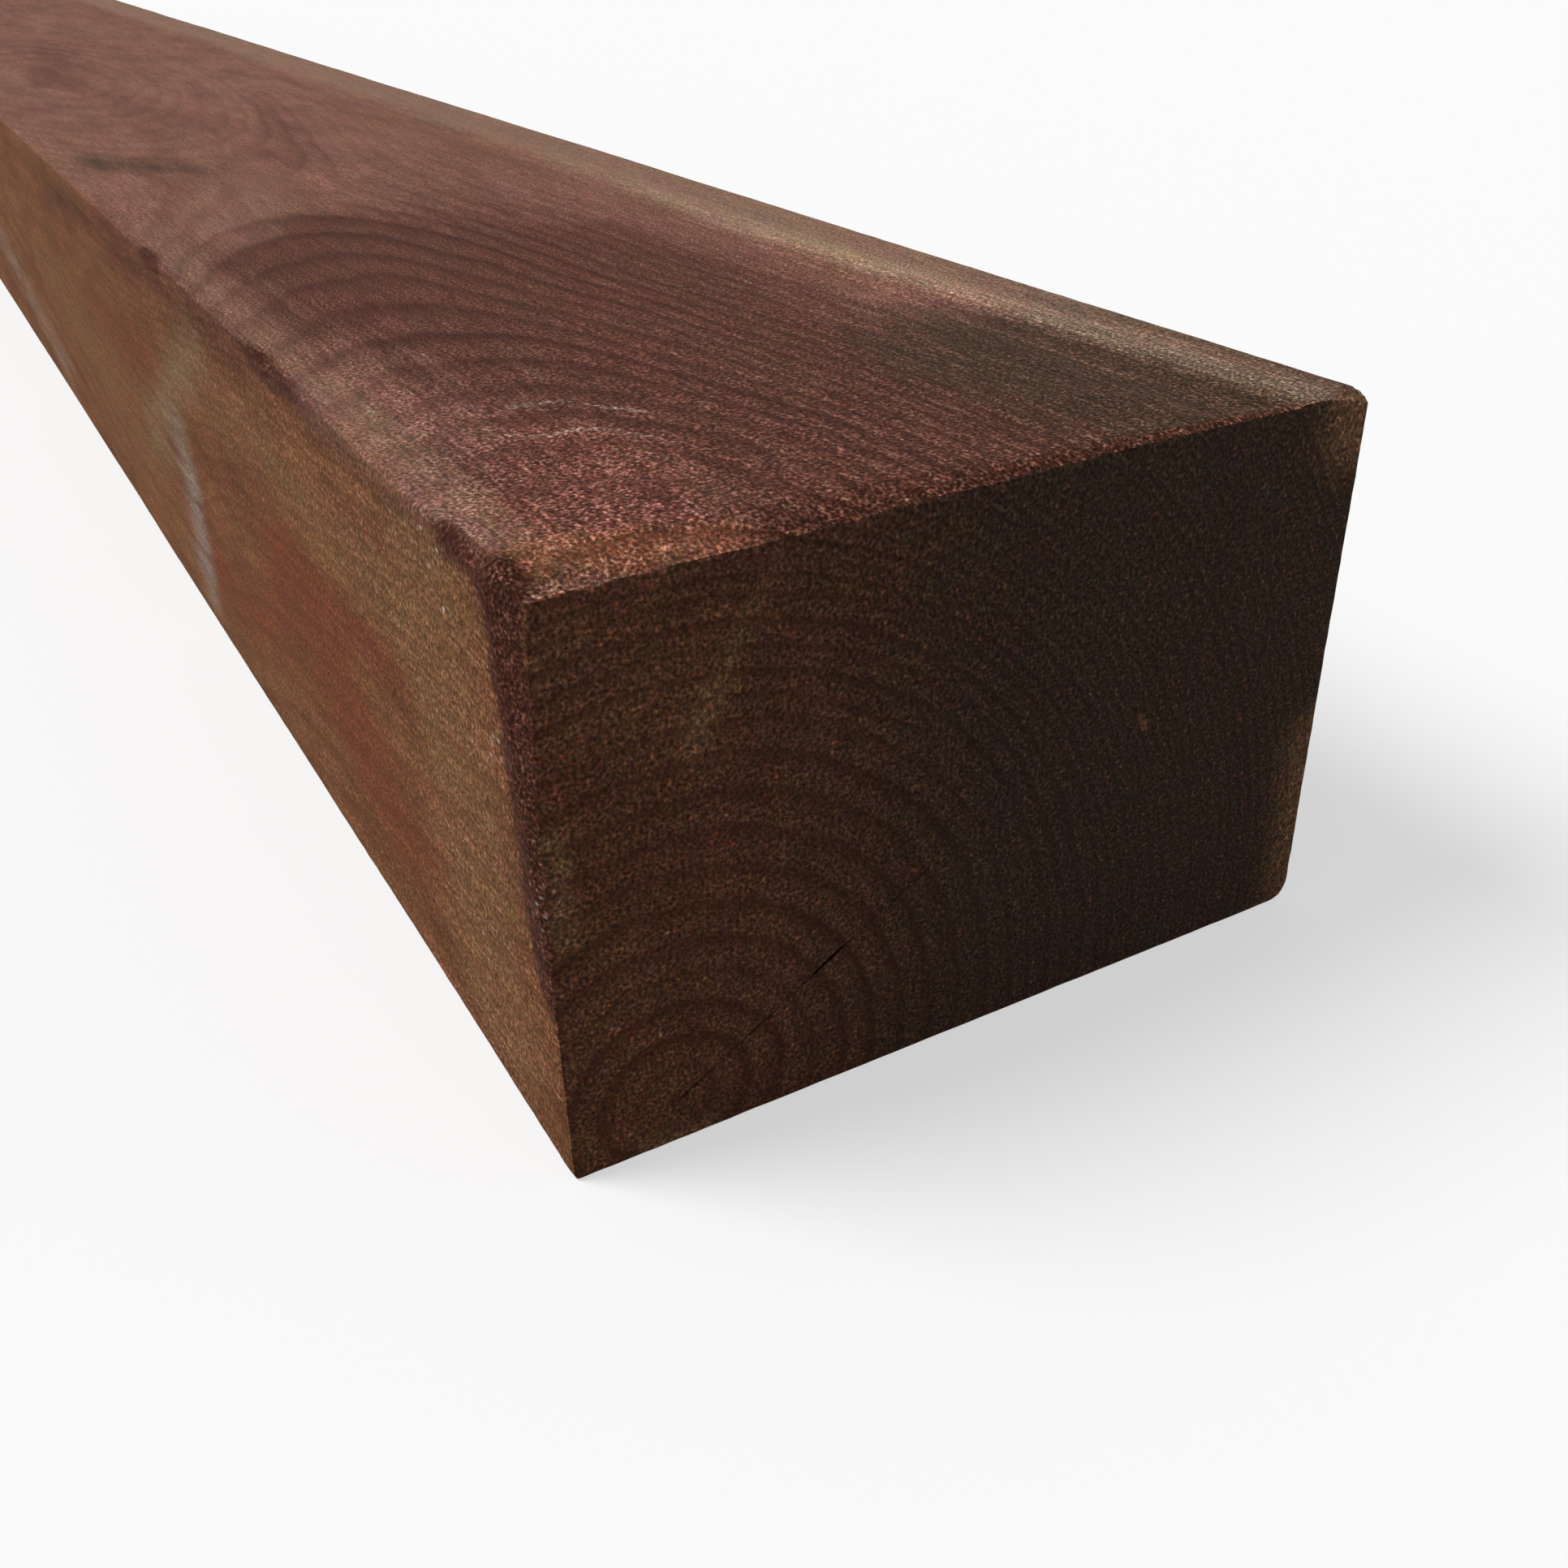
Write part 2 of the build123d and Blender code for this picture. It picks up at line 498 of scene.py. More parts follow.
moved_points = 0
for vertex in {v for face in faces_by_shake() for v in face.verts}:
    out, aside = along_shake(vertex.co)
    from_lip = 1 - abs(aside) / (SHAKE_WIDTH / 2)
    for start_share, end_share, size_share in SHAKE_SPLIT_SHARES:
        middle = (start_share + end_share) / 2 * SHAKE_REACH
        half_length = (end_share - start_share) / 2 * SHAKE_REACH
        size = size_share * (1 - ((out - middle) / half_length) ** 2)
        if size > 0 and from_lip > -LIP_TOLERANCE:
            vertex.co.x -= SHAKE_DEPTH * size * max(0.0, from_lip) * MM
            vertex.co += sideways * (aside * (size - 1) * MM)
            moved_points += 1
print(len(SHAKE_SPLIT_SHARES), "splits opened by moving", moved_points, "points")

# %% [markdown]
# ## From the net to an object
# The net becomes a mesh. Two facts about it are kept as attributes for the material: how squarely each face
# cuts the fibres, because end grain drinks more stain, and how much it looks at the sky, because that
# side weathers. Both come from the faces' normals.

# %% The mesh and its attributes
SHARP_DEGREES = 40.0

baulk.normal_update()
end_grain = [abs(face.normal.x) for face in baulk.faces]
skyward = [max(0.0, face.normal.z) for face in baulk.faces]
timber_mesh = bpy.data.meshes.new("sleeper_timber")
baulk.to_mesh(timber_mesh)
baulk.free()
for name, values in (("end_grain", end_grain), ("skyward", skyward)):
    layer = timber_mesh.attributes.new(name, "FLOAT", "FACE")
    layer.data.foreach_set("value", values)
timber_mesh.shade_smooth()
timber_mesh.set_sharp_from_angle(angle=math.radians(SHARP_DEGREES))
timber = bpy.data.objects.new("sleeper_timber", timber_mesh)
bpy.context.scene.collection.objects.link(timber)
timber_mesh.calc_loop_triangles()
print("timber:", len(timber_mesh.loop_triangles), "triangles")

# %% [markdown]
# ## Stains and painted light
# The treatment did not take evenly. Some places stayed wet and dark, some are redder, some are thin and
# golden, and some are scuffed pale. Two kinds are painted light, not stain: a painted sheen along the near
# top arris and on a patch of the top, and painted shade over the ends. Another kind only makes the wood
# darker in the chips, along the arrises of the worn end and the near top arris, and by a knot. Each kind is
# a soft brush stroke in timber coordinates: a line from one place to another that fades out over its half
# sizes. The sum of each kind is kept as an attribute of the mesh. NumPy works on all the points at once,
# which is far quicker than a loop over them. The last two kinds say where pale sap lines and splinters show.

# %% Where the stains are
STAINS_AND_PAINTED_LIGHT = {
    # from (into, across, up), to, half sizes, strength
    "wet": (
        ((10, 74, 100), (170, 50, 100), (60, 44, 12), 1.3),
        ((200, 34, 100), (240, 40, 100), (18, 20, 10), 0.65),
        ((150, 95, 100), (260, 88, 100), (60, 25, 10), 0.4),
        ((345, 66, 100), (510, 98, 100), (24, 12, 8), 0.35),
        ((620, 36, 100), (800, 54, 100), (60, 14, 10), 0.4),
    ),
    "olive": (
        ((0, 123, 100), (48, 118, 100), (42, 33, 10), 1.0),
        ((385, 11, 100), (343, 40, 100), (20, 9, 8), 0.45),
        ((365, 10, 100), (350, 22, 100), (16, 7, 8), 0.2),
        ((1300, 105, 100), (1600, 112, 100), (80, 22, 10), 0.5),
        ((0, 150, 60), (300, 150, 60), (120, 10, 50), 0.6),
        ((400, 75, 0), (1000, 75, 0), (200, 50, 10), 0.7),
    ),
    "wine": (((20, 22, 100), (40, 27, 100), (16, 13, 10), 1.4),),
    "red": (
        ((80, 0, 28), (130, 0, 50), (28, 4, 15), 1.0),
        ((65, 0, 62), (130, 0, 57), (20, 4, 6), 0.7),
        ((170, 0, 30), (230, 0, 20), (30, 4, 12), 0.7),
        ((280, 0, 66), (360, 0, 60), (40, 4, 9), 0.5),
        ((270, 46, 100), (310, 54, 100), (30, 10, 8), 0.2),
        ((1400, 0, 40), (1800, 0, 60), (90, 4, 18), 0.8),
    ),
    "gold": (
        ((28, 0, 15), (34, 0, 90), (18, 4, 12), 1.2),
        ((70, 0, 76), (170, 0, 78), (30, 4, 10), 0.7),
        ((300, 0, 36), (460, 0, 50), (60, 4, 22), 0.7),
    ),
    "ember": (((9, 5, 99), (3, 30, 97), (5, 7, 5), 0.95),),
    "tan": (((190, 0, 86), (285, 0, 43), (18, 6, 9), 0.7),),
    # painted sheen: a pale tone along the near top arris, where it catches the lamp, and on a patch of the
    # top
    "haze": (
        ((24, 3, 100), (85, 4, 100), (16, 6, 5), 0.9),
        ((100, 4, 100), (210, 5, 100), (30, 6, 5), 0.6),
        ((245, 20, 100), (305, 42, 100), (30, 14, 8), 0.7),
    ),
    # darker in the two chips, down the worn near corner, along the near top arris and the end's top edge, and
    # by a knot
    "darkened": (
        ((150, 0, 96), (400, 0, 90), (50, 2.5, 12), 0.5),
        ((6, 0, 104), (1, 0, 40), (4.5, 5, 8), 1.8),
        ((6, 0, 100), (20, 0, 99), (8, 2.2, 4), 1.0),
        ((40, 0, 97), (90, 0, 97), (16, 2, 5), 0.4),
        ((110, 0, 99), (125, 0, 99), (10, 3, 3), 0.8),
        ((224, 0, 99), (232, 0, 99), (6, 3, 3), 0.8),
        ((0.5, 44, 97.5), (0.3, 132, 99.8), (2, 6, 2), 1.3),
        ((233, 0, 38), (234, 0, 40), (3, 5, 3.5), 1.0),
    ),
    # painted shade: darkest towards the far side of the worn end, and a patch in the middle of the plain end
    "shade": (
        ((0, 140, 0), (0, 140, 100), (10, 95, 40), 1.25),
        ((2400, 50, 50), (2400, 100, 50), (12, 40, 40), 0.7),
    ),
    "pale": (
        ((235, 0, 48), (242, 0, 12), (13, 8, 10), 0.42),
        ((248, 0, 58), (256, 0, 16), (26, 8, 15), 0.22),
        ((505, 0, 14), (650, 0, 34), (50, 10, 13), 0.4),
        ((600, 150, 30), (1200, 150, 30), (200, 10, 14), 0.6),
    ),
    "torn": (
        ((0, 39, 96), (0, 24, 69), (6, 2.4, 2.4), 0.4),
        ((0, 6, 86), (0, 22, 78), (6, 10, 14), 0.3),
        ((0, 3, 46), (0, 3, 60), (6, 3, 4), 0.6),
        ((0, 14, 1), (0, 22, 1), (6, 4, 3), 0.7),
        ((0, 108, 50), (0, 108, 51), (4, 1.3, 1.1), 0.8),
        ((0, 150, 102), (0, 150, 94), (10, 11, 9), 0.9),
        ((0, 150, 0), (0, 150, 34), (8, 9, 10), 0.65),
    ),
    "lined": (
        ((40, 38, 100), (53, 24, 100), (6, 4, 6), 1.2),
        ((54, 41, 100), (66, 31, 100), (6, 4, 6), 1.2),
    ),
    "fleck": (
        ((31, 0, 99), (31, 0, 95), (4, 4, 3), 1.2),
        ((28, 0, 92), (31, 0, 80), (4, 4, 3), 1.1),
        ((28, 0, 38), (34, 0, 22), (5, 4, 4), 1.1),
        ((10, 0, 74), (14, 0, 64), (4, 4, 3), 0.9),
        ((2, 0, 54), (2, 0, 50), (3, 4, 3), 1.0),
    ),
}
MOST_STAIN = 2.0

places = np.empty(3 * len(timber_mesh.vertices), dtype=np.float32)
timber_mesh.vertices.foreach_get("co", places)
places = (places.reshape(-1, 3) - np.array(at(0, 0, 0))) / (-MM, MM, MM)


def stroke(start, end, half_sizes, strength):
    """How strongly one brush stroke marks each point of the mesh."""
    points = (places - start) / half_sizes
    line = np.subtract(end, start) / half_sizes
    along = np.clip(points @ line / (line @ line), 0, 1)
    off = points - np.outer(along, line)
    return strength * np.exp(-(off**2).sum(axis=1))


for kind, strokes in STAINS_AND_PAINTED_LIGHT.items():
    weights = np.minimum(sum(stroke(*each) for each in strokes), MOST_STAIN)
    layer = timber_mesh.attributes.new(f"stain_{kind}", "FLOAT", "POINT")
    layer.data.foreach_set("value", weights.astype(np.float32))
print("stains:", {kind: len(strokes) for kind, strokes in STAINS_AND_PAINTED_LIGHT.items()})

# %% [markdown]
# ## Treated softwood
# The material is solid: every face cuts the same block of rings, so arcs on the end run over into flames on
# the top and streaks on the sides, as they do in real timber. A ring is a distance from the pith, and the
# pith wanders as the tree grew. The dark line of each ring is its latewood. To the eye it is a matt,
# reddish brown wood with a sparkle of torn fibres, painted as glints, and nearly black on the end, which
# drank the most and has shade painted over it.

# %% Timber coordinates and the mesh's attributes in the shader
softwood = new_material("treated_softwood")
tree = softwood.node_tree
corner = at(0, 0, 0)
millimetres = add(
    "ShaderNodeMapping",
    {
        "Vector": add("ShaderNodeTexCoord").node.outputs["Object"],
        "Scale": (-1 / MM, 1 / MM, 1 / MM),
        "Location": (corner.x / MM, -corner.y / MM, -corner.z / MM),
    },
)
axes = add("ShaderNodeSeparateXYZ", {0: millimetres}).node.outputs
into, across, up = axes["X"], axes["Y"], axes["Z"]
marks = {}
for name in ("end_grain", "skyward", *(f"stain_{kind}" for kind in STAINS_AND_PAINTED_LIGHT)):
    marks[name] = add("ShaderNodeAttribute", attribute_name=name).node.outputs["Fac"]
print("shader reads millimetres from the worn end and", len(marks), "attributes")

# %% [markdown]
# The pith sinks out of the timber soon after the worn end and comes back later. Each ring leaves the top
# where the pith sinks and comes up again beyond, so its line closes into a pointed arc. A Float Curve node
# holds the path. It is read by the square root of the distance, which keeps most of the curve for the part
# near the worn end.

# %% The pith's path through the timber
PITH_PATH = (
    # into the timber, across from the near side, up from the underside
    (0, 18.6, 8.1),
    (30, 20.5, 6.7),
    (47, 22.0, 4.4),
    (64, 23.0, 2.1),
    (82, 24.5, -0.2),
    (103, 25.5, -2.5),
    (124, 27.0, -4.8),
    (148, 28.0, -7.1),
    (174, 31.0, -9.4),
    (200, 34.0, -11.7),
    (228, 36.0, -14.0),
    (252, 38.0, -16.3),
    (290, 41.0, -18.6),
    (330, 43.0, -19.6),
    (360, 42.0, -17.6),
    (400, 40.0, -13.2),
    (450, 38.0, -8.4),
    (520, 36.0, -3.0),
    (640, 34.0, 2.0),
    (820, 34.0, -5.0),
    (1050, 36.0, -16.0),
    (1300, 32.0, -10.0),
    (1600, 28.0, 4.0),
    (1950, 30.0, -10.0),
    (2400, 24.0, 0.0),
)
PITH_LOWEST = -40.0
PITH_HIGHEST = 60.0

share_in = add("ShaderNodeMath", {0: into, 1: LENGTH}, operation="DIVIDE")
share_in = add("ShaderNodeMath", {0: share_in}, operation="SQRT")
pith_at = []
for axis in (1, 2):
    path = add("ShaderNodeFloatCurve", {"Value": share_in})
    points = path.node.mapping.curves[0].points
    heights = [(place[axis] - PITH_LOWEST) / (PITH_HIGHEST - PITH_LOWEST) for place in PITH_PATH]
    spots = [(math.sqrt(place[0] / LENGTH), height) for place, height in zip(PITH_PATH, heights)]
    for spot in spots[1:-1]:
        points.new(*spot)
    points[0].location = spots[0]
    points[-1].location = spots[-1]
    path.node.mapping.update()
    pith_at.append(
        add("ShaderNodeMapRange", {"Value": path, "To Min": PITH_LOWEST, "To Max": PITH_HIGHEST})
    )
print("pith path:", len(PITH_PATH), "places")

# %% Distance from the pith, warped a little as trees are
WARPS = (
    # length of a wave along the timber, across it, and how far it pushes
    (260.0, 48.0, 1.4),
    (55.0, 11.0, 0.7),
    (8.0, 1.6, 0.12),
)
NOISE_MIDDLE = 0.5

from_pith = add(
    "ShaderNodeCombineXYZ",
    {
        "Y": add("ShaderNodeMath", {0: across, 1: pith_at[0]}, operation="SUBTRACT"),
        "Z": add("ShaderNodeMath", {0: up, 1: pith_at[1]}, operation="SUBTRACT"),
    },
)
for long, wide, push in WARPS:
    stretched = add("ShaderNodeMapping", {"Vector": millimetres, "Scale": (1 / long, 1 / wide, 1 / wide)})
    cloud = add("ShaderNodeTexNoise", {"Vector": stretched, "Scale": 1.0, "Detail": 1.0})
    centred = add(
        "ShaderNodeVectorMath",
        {0: cloud.node.outputs["Color"], 1: (NOISE_MIDDLE,) * 3},
        operation="SUBTRACT",
    )
    from_pith = add(
        "ShaderNodeVectorMath",
        {0: centred, 1: (0, 2 * push, 2 * push), 2: from_pith},
        operation="MULTIPLY_ADD",
    )
radius = add("ShaderNodeVectorMath", {0: from_pith}, operation="LENGTH")
print("pith at", PITH, "mm on the worn end")

# %% [markdown]
# Where a branch grew, the rings swell round it. Each knot here is a soft bulge in the distance from the
# pith, so the lines bend round the place. One over e, to the power of a squared distance, is a bell.

# %% Bulges round knots
KNOTS = (
    # middle (into, across, up), half sizes, and how far the rings are pushed
    ((345, 62, 100), (34, 18, 40), -3.0),
    ((238, 0, 36), (40, 30, 24), 9.0),
    ((1250, 40, 100), (60, 30, 30), -6.0),
    ((800, 150, 60), (60, 30, 30), 8.0),
    ((1500, 75, 0), (60, 34, 30), 8.0),
)

ONE_OVER_E = math.exp(-1)

for middle, half_sizes, push in KNOTS:
    offset = add("ShaderNodeVectorMath", {0: millimetres, 1: middle}, operation="SUBTRACT")
    offset = add("ShaderNodeVectorMath", {0: offset, 1: half_sizes}, operation="DIVIDE")
    squared = add("ShaderNodeVectorMath", {0: offset, 1: offset}, operation="DOT_PRODUCT")
    bulge = add("ShaderNodeMath", {0: ONE_OVER_E, 1: squared}, operation="POWER")
    radius = add("ShaderNodeMath", {0: bulge, 1: push, 2: radius}, operation="MULTIPLY_ADD")
print("knots:", len(KNOTS))

# %% [markdown]
# A tree grows fast when it is young, so the rings are wide near the pith and narrow near the bark. The ring
# number is counted up in stretches, each with its own ring width. The part after the point is the season.

# %% Rings
RING_PHASE = 0.70
RING_WIDTHS = (
    # from this distance out, a ring is this wide
    (0.0, 5.87),
    (64.0, 3.8),
    (84.5, 2.3),
)
LATEWOOD_SHAPE = ((0.0, 0.15), (0.2, 0.0), (0.5, 0.25), (0.78, 1.0), (0.88, 1.0), (1.0, 0.15))
LEAST_VIGOUR = 0.55

count = RING_PHASE
rings_per_mm = 0.0
for distance, width in RING_WIDTHS:
    beyond = add("ShaderNodeMath", {0: radius, 1: distance}, operation="SUBTRACT")
    beyond = add("ShaderNodeMath", {0: beyond, 1: 0.0}, operation="MAXIMUM")
    more = 1 / width - rings_per_mm
    count = add("ShaderNodeMath", {0: beyond, 1: more, 2: count}, operation="MULTIPLY_ADD")
    rings_per_mm = 1 / width
year = add("ShaderNodeMath", {0: count}, operation="FLOOR")
season = add("ShaderNodeMath", {0: count}, operation="FRACT")
latewood = add("ShaderNodeValToRGB", {"Fac": season})
stops = latewood.node.color_ramp.elements
for stop, (position, level) in zip((stops[0], stops[1]), (LATEWOOD_SHAPE[0], LATEWOOD_SHAPE[-1])):
    stop.position = position
    stop.color = (level, level, level, 1)
for position, level in LATEWOOD_SHAPE[1:-1]:
    stops.new(position).color = (level, level, level, 1)
vigour = add("ShaderNodeTexWhiteNoise", {"W": year}, noise_dimensions="1D").node.outputs["Value"]
vigour = add("ShaderNodeMapRange", {"Value": vigour, "To Min": LEAST_VIGOUR})
ring = add("ShaderNodeMath", {0: latewood, 1: vigour}, operation="MULTIPLY")
print("ring widths from the pith outwards:", [width for _, width in RING_WIDTHS], "mm")

# %% Fibres, nap and patches
NOISE_SIZES = {
    # size in millimetres along, across and up, then how many finer layers
    "fibre": ((12.0, 0.9, 0.9), 2.0),
    "nap": ((0.6, 0.6, 0.6), 1.0),
    "tuft": ((1.7, 1.3, 1.3), 1.0),
    "saw": ((1.4, 14.0, 14.0), 1.0),
    "patch": ((170.0, 36.0, 36.0), 2.0),
    "mottle": ((38.0, 8.0, 8.0), 2.0),
    "edge": ((40.0, 5.0, 5.0), 3.0),
}

layers = {}
for name, (sizes, detail) in NOISE_SIZES.items():
    scaled = add("ShaderNodeMapping", {"Vector": millimetres, "Scale": [1 / size for size in sizes]})
    layers[name] = add("ShaderNodeTexNoise", {"Vector": scaled, "Scale": 1.0, "Detail": detail})
print("noise layers:", ", ".join(layers))

# %% [markdown]
# ## Colour of the long faces and the ends
# Long faces and end grain are mixed by how squarely a face cuts the fibres. Each starts from two tones and
# takes the stains, and the painted light: sheen on the long faces, shade on the ends. Each weight is
# multiplied by noise before a soft step, so that its border is mottled and nothing shows where there is none.
# The rings come next as a darkening tint, and then a fine light and dark speckle from the torn nap.

# %% Base tones, stains and painted light
# The numbers of a colour Mix node's sockets
FACTOR, FIRST, SECOND = 0, 6, 7
TONES = {
    "side": ("#6E442B", "#825738"),
    "top": ("#744C3E", "#835C4D"),
    "end": ("#674232", "#724D3B"),
}
MOTTLE_SHARE = 1.5
BLOTCH_RANGE = (0.95, 1.55)
LONG_STAINS_AND_SHEEN = {
    "wet": "#5B362A",
    "olive": "#432F22",
    "wine": "#6E4034",
    "red": "#78442B",
    "gold": "#805A3B",
    "ember": "#85533B",
    # painted sheen
    "tan": "#876A4C",
    "haze": "#84604F",
    # darker in the chips and along the arrises of the worn end
    "darkened": "#4C2A1E",
    "pale": "#9E8D7F",
    "lined": "#9C8272",
}
END_STAINS_AND_SHADE = {
    # painted shade
    "shade": "#46362C",
    "torn": "#8A684D",
}
LONG_BREAK_UP = 1.8
END_BREAK_UP = 1.6
SOFT_STEP = (0.1, 0.9)
LINED_SEASON = 0.25
LINED_SHARE = 0.09
LINED_STRENGTH = 0.45


def stain_and_light_weight(kind, broken):
    """From 0 to 1, where a noise of about 1 makes a stain, and the painted light, stronger and weaker from
    place to place.
    """
    level = add("ShaderNodeMath", {0: marks[f"stain_{kind}"], 1: broken}, operation="MULTIPLY")
    return add(
        "ShaderNodeMapRange",
        {"Value": level, "From Min": SOFT_STEP[0], "From Max": SOFT_STEP[1]},
        interpolation_type="SMOOTHSTEP",
    )


off_line = add("ShaderNodeMath", {0: season, 1: LINED_SEASON}, operation="SUBTRACT")
off_line = add("ShaderNodeMath", {0: off_line}, operation="ABSOLUTE")
sap_line = add(
    "ShaderNodeMapRange",
    {"Value": off_line, "From Min": LINED_SHARE, "From Max": 0.0},
    interpolation_type="SMOOTHSTEP",
)


def with_stains_and_light(colour, tones, broken):
    """A colour with each kind of stain and of painted light laid over it in turn. The lined one shows only
    along the rings.
    """
    for kind, tone in tones.items():
        weight = stain_and_light_weight(kind, broken)
        if kind == "lined":
            weight = add("ShaderNodeMath", {0: weight, 1: sap_line}, operation="MULTIPLY")
            weight = add("ShaderNodeMath", {0: weight, 1: LINED_STRENGTH}, operation="MULTIPLY")
        colour = add("ShaderNodeMix", {FACTOR: weight, FIRST: colour, SECOND: tone}, data_type="RGBA")
    return colour


long_break, end_break = (
    add(
        "ShaderNodeMapRange",
        {"Value": layers[name], "To Min": 1 - break_up / 2, "To Max": 1 + break_up / 2},
    )
    for name, break_up in (("edge", LONG_BREAK_UP), ("tuft", END_BREAK_UP))
)
blotch = add(
    "ShaderNodeMath", {0: layers["mottle"], 1: MOTTLE_SHARE, 2: layers["patch"]}, operation="MULTIPLY_ADD"
)
blotch = add(
    "ShaderNodeMapRange", {"Value": blotch, "From Min": BLOTCH_RANGE[0], "From Max": BLOTCH_RANGE[1]}
)
base = {}
for name, (dark, light) in TONES.items():
    base[name] = add("ShaderNodeMix", {FACTOR: blotch, FIRST: dark, SECOND: light}, data_type="RGBA")
long_face = add(
    "ShaderNodeMix",
    {FACTOR: marks["skyward"], FIRST: base["side"], SECOND: base["top"]},
    data_type="RGBA",
)
long_face = with_stains_and_light(long_face, LONG_STAINS_AND_SHEEN, long_break)
end_face = with_stains_and_light(base["end"], END_STAINS_AND_SHADE, end_break)
print("stains on the long faces:", len(LONG_STAINS_AND_SHEEN), "and on the ends:", len(END_STAINS_AND_SHADE))

# %% [markdown]
# A pale line runs along the far edge of the top and draws away from it a little. It is a painted highlight,
# where the far flank of the shallow hollow faces the lamp. Outside the line the top is paler too. Both keep
# their distance from that edge, so they are set by the distance across and not by the rings. Close to the
# worn end they are dull, and far along the timber the line dies away.

# %% The painted highlight line and the far margin of the top
LINE_FROM_FAR = (10.5, 20.0)
LINE_SETTLES = 170.0
LINE_WANDERS = {"patch": 9.0, "edge": 5.0}
LINE_HALF_WIDTH = 9.0
# the tone and share of the painted highlight line
HIGHLIGHT_LINE_TONE = "#AA8C74"
HIGHLIGHT_LINE_SHARE = 0.66
LINE_FADES = (140.0, 330.0)
LINE_LEFT_SHARE = 0.1
MARGIN_SOFTNESS = 5.0
MARGIN_TONE = "#8B6E5B"
MARGIN_SHARE = 0.7
DULL_REACH = 150.0
DULL_SHARE = 0.4

from_far = add("ShaderNodeMath", {0: WIDTH, 1: across}, operation="SUBTRACT")
for name, push in LINE_WANDERS.items():
    wander = add("ShaderNodeMath", {0: NOISE_MIDDLE, 1: layers[name]}, operation="SUBTRACT")
    from_far = add("ShaderNodeMath", {0: wander, 1: push, 2: from_far}, operation="MULTIPLY_ADD")
line_place = add(
    "ShaderNodeMapRange",
    {"Value": into, "From Max": LINE_SETTLES, "To Min": LINE_FROM_FAR[0], "To Max": LINE_FROM_FAR[1]},
)
outside_line = add("ShaderNodeMath", {0: line_place, 1: from_far}, operation="SUBTRACT")
margin = add(
    "ShaderNodeMapRange",
    {"Value": outside_line, "From Min": -MARGIN_SOFTNESS, "From Max": MARGIN_SOFTNESS},
    interpolation_type="SMOOTHSTEP",
)
line = add(
    "ShaderNodeMapRange",
    {
        "Value": add("ShaderNodeMath", {0: outside_line}, operation="ABSOLUTE"),
        "From Min": LINE_HALF_WIDTH,
        "From Max": 0.0,
    },
    interpolation_type="SMOOTHSTEP",
)
dulled = add("ShaderNodeMapRange", {"Value": into, "From Max": DULL_REACH, "To Min": DULL_SHARE})
dulled = add("ShaderNodeMath", {0: dulled, 1: marks["skyward"]}, operation="MULTIPLY")
faded = add(
    "ShaderNodeMapRange",
    {
        "Value": into,
        "From Min": LINE_FADES[0],
        "From Max": LINE_FADES[1],
        "To Min": 1.0,
        "To Max": LINE_LEFT_SHARE,
    },
)
line = add("ShaderNodeMath", {0: line, 1: faded}, operation="MULTIPLY")
# The margin gets a paler wood tone, and the line a painted highlight.
for band, share, tone in ((margin, MARGIN_SHARE, MARGIN_TONE), (line, HIGHLIGHT_LINE_SHARE, HIGHLIGHT_LINE_TONE)):
    weight = add("ShaderNodeMath", {0: band, 1: dulled}, operation="MULTIPLY")
    weight = add("ShaderNodeMath", {0: weight, 1: share}, operation="MULTIPLY")
    long_face = add("ShaderNodeMix", {FACTOR: weight, FIRST: long_face, SECOND: tone}, data_type="RGBA")
print(f"pale line {LINE_FROM_FAR[0]} to {LINE_FROM_FAR[1]} mm from the far edge")

# %% [markdown]
# Latewood darkens the tones as a tint. On the long faces it is clearest in the wet patches, and fainter in
# the narrow rings towards the far edge. On the ends it fades from patch to patch and where the painted shade
# is deepest.

# %% Rings over the tones
LONG_RING_TINT = "#B8A8A6"
END_RING_TINT = "#BFB3AC"
DRY_RING_SHARE = 0.28
FAINT_RING_SHARE = 0.55
FAINT_PATCHES = (0.35, 0.6)
SHADE_FADES_RINGS = -0.3
LEAST_RING_SHARE = 0.45
NARROW_RINGS_FROM_NEAR = (78.0, 112.0)
NARROW_RING_SHARE = 0.4
END_GRAIN_STEP = (0.35, 0.8)

long_share = add("ShaderNodeMapRange", {"Value": marks["stain_wet"], "To Min": DRY_RING_SHARE})
narrow_share = add(
    "ShaderNodeMapRange",
    {
        "Value": across,
        "From Min": NARROW_RINGS_FROM_NEAR[0],
        "From Max": NARROW_RINGS_FROM_NEAR[1],
        "To Min": 1.0,
        "To Max": NARROW_RING_SHARE,
    },
)
long_share = add("ShaderNodeMath", {0: long_share, 1: narrow_share}, operation="MULTIPLY")
end_share = add(
    "ShaderNodeMapRange",
    {
        "Value": layers["patch"],
        "From Min": FAINT_PATCHES[0],
        "From Max": FAINT_PATCHES[1],
        "To Min": FAINT_RING_SHARE,
    },
)
end_share = add(
    "ShaderNodeMath",
    {0: marks["stain_shade"], 1: SHADE_FADES_RINGS, 2: end_share},
    operation="MULTIPLY_ADD",
)
end_share = add("ShaderNodeMath", {0: end_share, 1: LEAST_RING_SHARE}, operation="MAXIMUM")
ringed = []
for colour, share, tint in ((long_face, long_share, LONG_RING_TINT), (end_face, end_share, END_RING_TINT)):
    weight = add("ShaderNodeMath", {0: ring, 1: share}, operation="MULTIPLY")
    sockets = {FACTOR: weight, FIRST: colour, SECOND: tint}
    ringed.append(add("ShaderNodeMix", sockets, data_type="RGBA", blend_type="MULTIPLY"))
cut_across = add(
    "ShaderNodeMapRange",
    {"Value": marks["end_grain"], "From Min": END_GRAIN_STEP[0], "From Max": END_GRAIN_STEP[1]},
    interpolation_type="SMOOTHSTEP",
)
